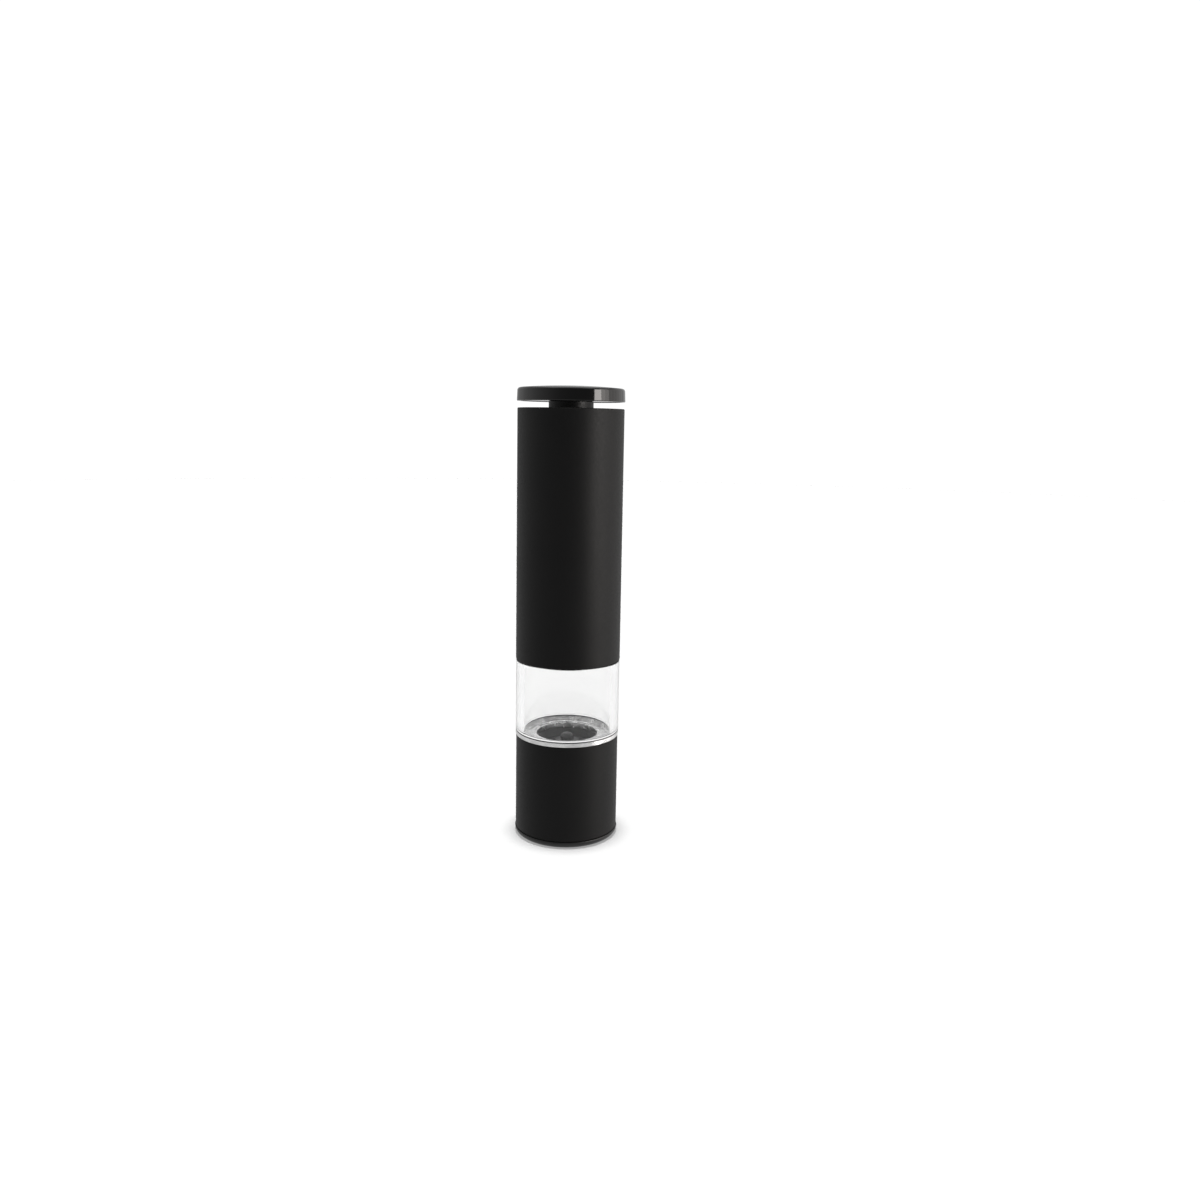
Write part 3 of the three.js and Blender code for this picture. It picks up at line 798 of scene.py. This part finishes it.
def make_top_plate():
    bottom, top, radius = span("top_plate")
    outer, inner = 20.8, 18.6
    mouth, collar = 11.3, 13.2
    shelf = top - 6
    groove = (bottom + 1.9, bottom + 3.3)
    place(
        turned([
            (inner, bottom, 0.3),
            (outer, bottom, 0.4),
            (outer, groove[0], 0.1),
            (outer - 1.3, groove[0], 0.1),
            (outer - 1.3, groove[1], 0.1),
            (outer, groove[1], 0.1),
            (outer, shelf, 0.2),
            (radius, shelf, 0.2),
            (radius, top, 0.3),
            (mouth, top, 0.4),
            (mouth, top - 8, 0.3),
            (collar, top - 8, 0.3),
            (collar, top - 2.8, 0.3),
            (inner, top - 2.8, 0.3),
        ]),
        "top_plate",
        "black_plastic",
    )
    place(o_ring("top_plate_seal"), "top_plate_seal", "silicone")


# ---- lid -------------------------------------------------------------------------------------------
def make_stopper():
    bottom, top, flange = span("lid_stopper")
    seat = bottom + 11.1
    plug, neck = 10.9, 10.5
    spigot = neck - 1
    web = seat - 1.3
    groove = (seat - 6.3, seat - 4.9)
    place(
        turned([
            (plug - 0.6, bottom, 0.3),
            (plug, bottom + 0.8, 0.5),
            (plug, groove[0], 0.1),
            (plug - 1.1, groove[0], 0.1),
            (plug - 1.1, groove[1], 0.1),
            (plug, groove[1], 0.1),
            (plug, seat, 0.2),
            (flange, seat, 0.2),
            (flange, seat + 0.9, 0.3),
            (neck, seat + 0.9, 0.25),
            (neck, top - 1, 0.15),
            (spigot, top - 1, 0.1),
            (spigot, top, 0.2),
            (1.6, top, 0.2),
            (1.6, web, 0.2),
            (plug - 2.4, web, 0.6),
            (plug - 2.4, bottom, 0.4),
        ]),
        "lid_stopper",
        "black_plastic",
    )
    place(o_ring("stopper_seal"), "stopper_seal", "silicone")


def make_lid():
    bottom, top, radius = span("lid_cap")
    crown = 1.2
    shoulder = top - crown
    draft, edge = 0.2, 1.4
    plate = radius - 1.5
    ball = (radius**2 + crown**2) / (2 * crown)
    crown_at = lambda r: top - (ball - math.sqrt(ball**2 - r**2))
    pocket = shoulder - 1.4
    inner_post, pilot, post_end = 6.0, 1.3, bottom + 1.2
    start = radius - draft - edge
    place(
        turned([
            (0, pocket),
            (pilot, pocket, 0.1),
            (pilot, post_end, 0.1),
            (inner_post, post_end, 0.3),
            (inner_post, pocket, 0.3),
            (plate - 1, pocket, 0.5),
            (plate - 1, bottom + 1.6, 0.1),
            (plate, bottom + 1.6, 0.1),
            (plate, bottom, 0.2),
            (radius, bottom, 0.35),
            *arc(start, crown_at(start) - edge, edge, 0, 84, 12),
            *((r, crown_at(r)) for r in range(23, 0, -2)),
            (0, top),
        ], 256),
        "lid_cap",
        "gloss_black",
    )
    low, high, rim = span("lid_underplate")
    place(washer(9.7, rim, low, high, 0.25, SEGMENTS), "lid_underplate", "gloss_black")


# ---- stage, lights and camera ----------------------------------------------------------------------
def stage_mesh(name, bm, material):
    mesh = bpy.data.meshes.new(name)
    bm.to_mesh(mesh)
    bm.free()
    mesh.shade_smooth()
    mesh.materials.append(material)
    obj = bpy.data.objects.new(name, mesh)
    bpy.context.scene.collection.objects.link(obj)
    return obj


def make_stage():
    g = Graph("pale_floor")
    tint = g.noise(9.0, 2.0)
    pale = g.finish(
        Base_Color=g.between(tint, 0.149, 0.152),
        Roughness=1.0,
        Specular_IOR_Level=0.0,
        Emission_Color=(1, 1, 1, 1),
        Emission_Strength=0.34,
    )
    bm = bmesh.new()
    bmesh.ops.create_circle(bm, cap_ends=True, segments=96, radius=3.0)
    bm.transform(Matrix.Translation((0, 0, cad_bounds[0].z)))
    floor = stage_mesh("floor", bm, pale)

    g = Graph("white_backdrop")
    g.finish(Base_Color=(0, 0, 0, 1), Emission_Color=(1, 1, 1, 1), Emission_Strength=1.03)
    bm = bmesh.new()
    bmesh.ops.create_uvsphere(bm, u_segments=64, v_segments=32, radius=4.0)
    bmesh.ops.reverse_faces(bm, faces=bm.faces)
    backdrop = stage_mesh("backdrop", bm, g.material)
    for obj in (floor, backdrop):
        obj.visible_diffuse = False
        obj.visible_glossy = False
        obj.visible_shadow = False
    return floor


def make_surroundings():
    """The room: dimmest on the side towards the camera's right, palest at the sides."""
    world = bpy.data.worlds.new("room")
    bpy.context.scene.world = world
    world.use_nodes = True
    tree = world.node_tree
    direction = tree.nodes.new("ShaderNodeTexCoord").outputs["Generated"]
    facing = tree.nodes.new("ShaderNodeVectorMath")
    facing.operation = "DOT_PRODUCT"
    dim = math.radians(25)
    facing.inputs[1].default_value = (math.sin(dim), -math.cos(dim), 0)
    tree.links.new(direction, facing.inputs[0])
    share = tree.nodes.new("ShaderNodeMapRange")
    share.inputs["From Min"].default_value = -1
    tree.links.new(facing.outputs["Value"], share.inputs["Value"])
    ramp = tree.nodes.new("ShaderNodeValToRGB")
    tones = [(0.0, 0.42), (0.06, 0.64), (0.25, 0.7), (0.5, 0.5), (0.67, 0.34), (0.84, 0.19), (1.0, 0.12)]
    elements = ramp.color_ramp.elements
    elements[0].position, elements[1].position = tones[0][0], tones[-1][0]
    for position, _ in tones[1:-1]:
        elements.new(position)
    for element, (_, tone) in zip(elements, tones):
        element.color = (tone, tone, tone, 1)
    tree.links.new(share.outputs["Result"], ramp.inputs["Fac"])
    height = tree.nodes.new("ShaderNodeSeparateXYZ")
    tree.links.new(direction, height.inputs[0])
    below = tree.nodes.new("ShaderNodeMapRange")
    below.inputs["From Min"].default_value = -0.1
    below.inputs["From Max"].default_value = -0.3
    tree.links.new(height.outputs["Z"], below.inputs["Value"])
    table = tree.nodes.new("ShaderNodeMix")
    table.data_type = "RGBA"
    table.inputs["B"].default_value = (0.65, 0.65, 0.65, 1)
    tree.links.new(below.outputs["Result"], table.inputs["Factor"])
    tree.links.new(ramp.outputs["Color"], table.inputs["A"])
    tree.links.new(table.outputs["Result"], tree.nodes["Background"].inputs["Color"])


WARM = (1.0, 0.955, 0.925)


def softbox(name, azimuth, distance, level, width, height, radiance, colour=WARM, down=False):
    """A rectangular light aimed at the object; azimuth 0 stands on the camera's side."""
    light = bpy.data.lights.new(name, "AREA")
    light.shape = "RECTANGLE"
    light.size, light.size_y = width, height
    light.energy = radiance * width * height * math.pi
    light.color = colour
    obj = bpy.data.objects.new(name, light)
    bpy.context.scene.collection.objects.link(obj)
    angle = math.radians(azimuth)
    where = Vector((distance * math.sin(angle), -distance * math.cos(angle), level))
    aim = Vector((0, 0, 0.12)) - where
    aim = Vector((0, 0, -1)) if down else Vector((aim.x, aim.y, 0))
    obj.matrix_world = Matrix.Translation(where) @ aim.to_track_quat("-Z", "Y").to_matrix().to_4x4()
    obj.visible_camera = False
    return obj


def light_only(light, state, objects):
    """Limits what a light falls on, as a studio flag does: INCLUDE or EXCLUDE the objects."""
    flags = bpy.data.collections.new(light.name + "_flags")
    for obj in objects:
        flags.objects.link(obj)
    for member in flags.collection_objects:
        member.light_linking.link_state = state
    light.light_linking.receiver_collection = flags


def make_lights(floor):
    clear = bpy.data.objects["clear_chamber_piece"]
    strip = softbox("strip_right", 57, 1.0, 0.27, 0.28, 0.5, 9.0)
    light_only(strip, "EXCLUDE", [floor, clear, bpy.data.objects["floor_ring_piece"]])
    # A curved reflector goes on from the strip and fades towards the back.
    for i, radiance in enumerate((3.6, 2.6, 1.1, 0.85, 0.65, 0.5, 0.35)):
        panel = softbox(f"reflector_{i + 1}", 70 + 10 * i, 1.0, 0.27, 0.175, 1.1, radiance)
        light_only(panel, "EXCLUDE", [floor, clear])
    overhead = softbox("overhead", 180, 0.1, 1.3, 1.6, 1.6, 1.6, (1, 1, 1), down=True)
    light_only(overhead, "EXCLUDE", [floor])

    zenith = bpy.data.lights.new("zenith", "SUN")
    zenith.energy = 12.8
    zenith.angle = math.radians(4.2)
    obj = bpy.data.objects.new("zenith", zenith)
    bpy.context.scene.collection.objects.link(obj)
    light_only(obj, "INCLUDE", [floor])


def make_camera():
    """A pinhole level with the top of the sleeve, looking a little down."""
    data = bpy.data.cameras.new("camera")
    data.lens = 29.56
    data.sensor_width = 36
    data.shift_y = -0.035
    camera = bpy.data.objects.new("camera", data)
    bpy.context.scene.collection.objects.link(camera)
    pitch, roll, yaw = (math.radians(a) for a in (7.803, 0.989, 1.807))
    ahead = Vector((math.sin(yaw) * math.cos(pitch), math.cos(yaw) * math.cos(pitch), -math.sin(pitch)))
    right = Vector((math.cos(yaw), -math.sin(yaw), 0))
    up = right.cross(ahead)
    across = right * math.cos(roll) + up * math.sin(roll)
    above = up * math.cos(roll) - right * math.sin(roll)
    camera.matrix_world = Matrix((
        (across.x, above.x, -ahead.x, 0),
        (across.y, above.y, -ahead.y, -0.46535),
        (across.z, above.z, -ahead.z, 0.19888),
        (0, 0, 0, 1),
    ))
    bpy.context.scene.camera = camera


make_dust_cap()
make_base_shell()
make_spider()
make_screws()
make_rotor()
make_spring()
make_dial()
make_floor_ring()
make_housing()
make_stator()
make_funnel()
make_chamber()
make_sleeve()
make_top_plate()
make_stopper()
make_lid()
floor = make_stage()
make_surroundings()
make_lights(floor)
make_camera()
bpy.context.scene.view_settings.view_transform = "Standard"
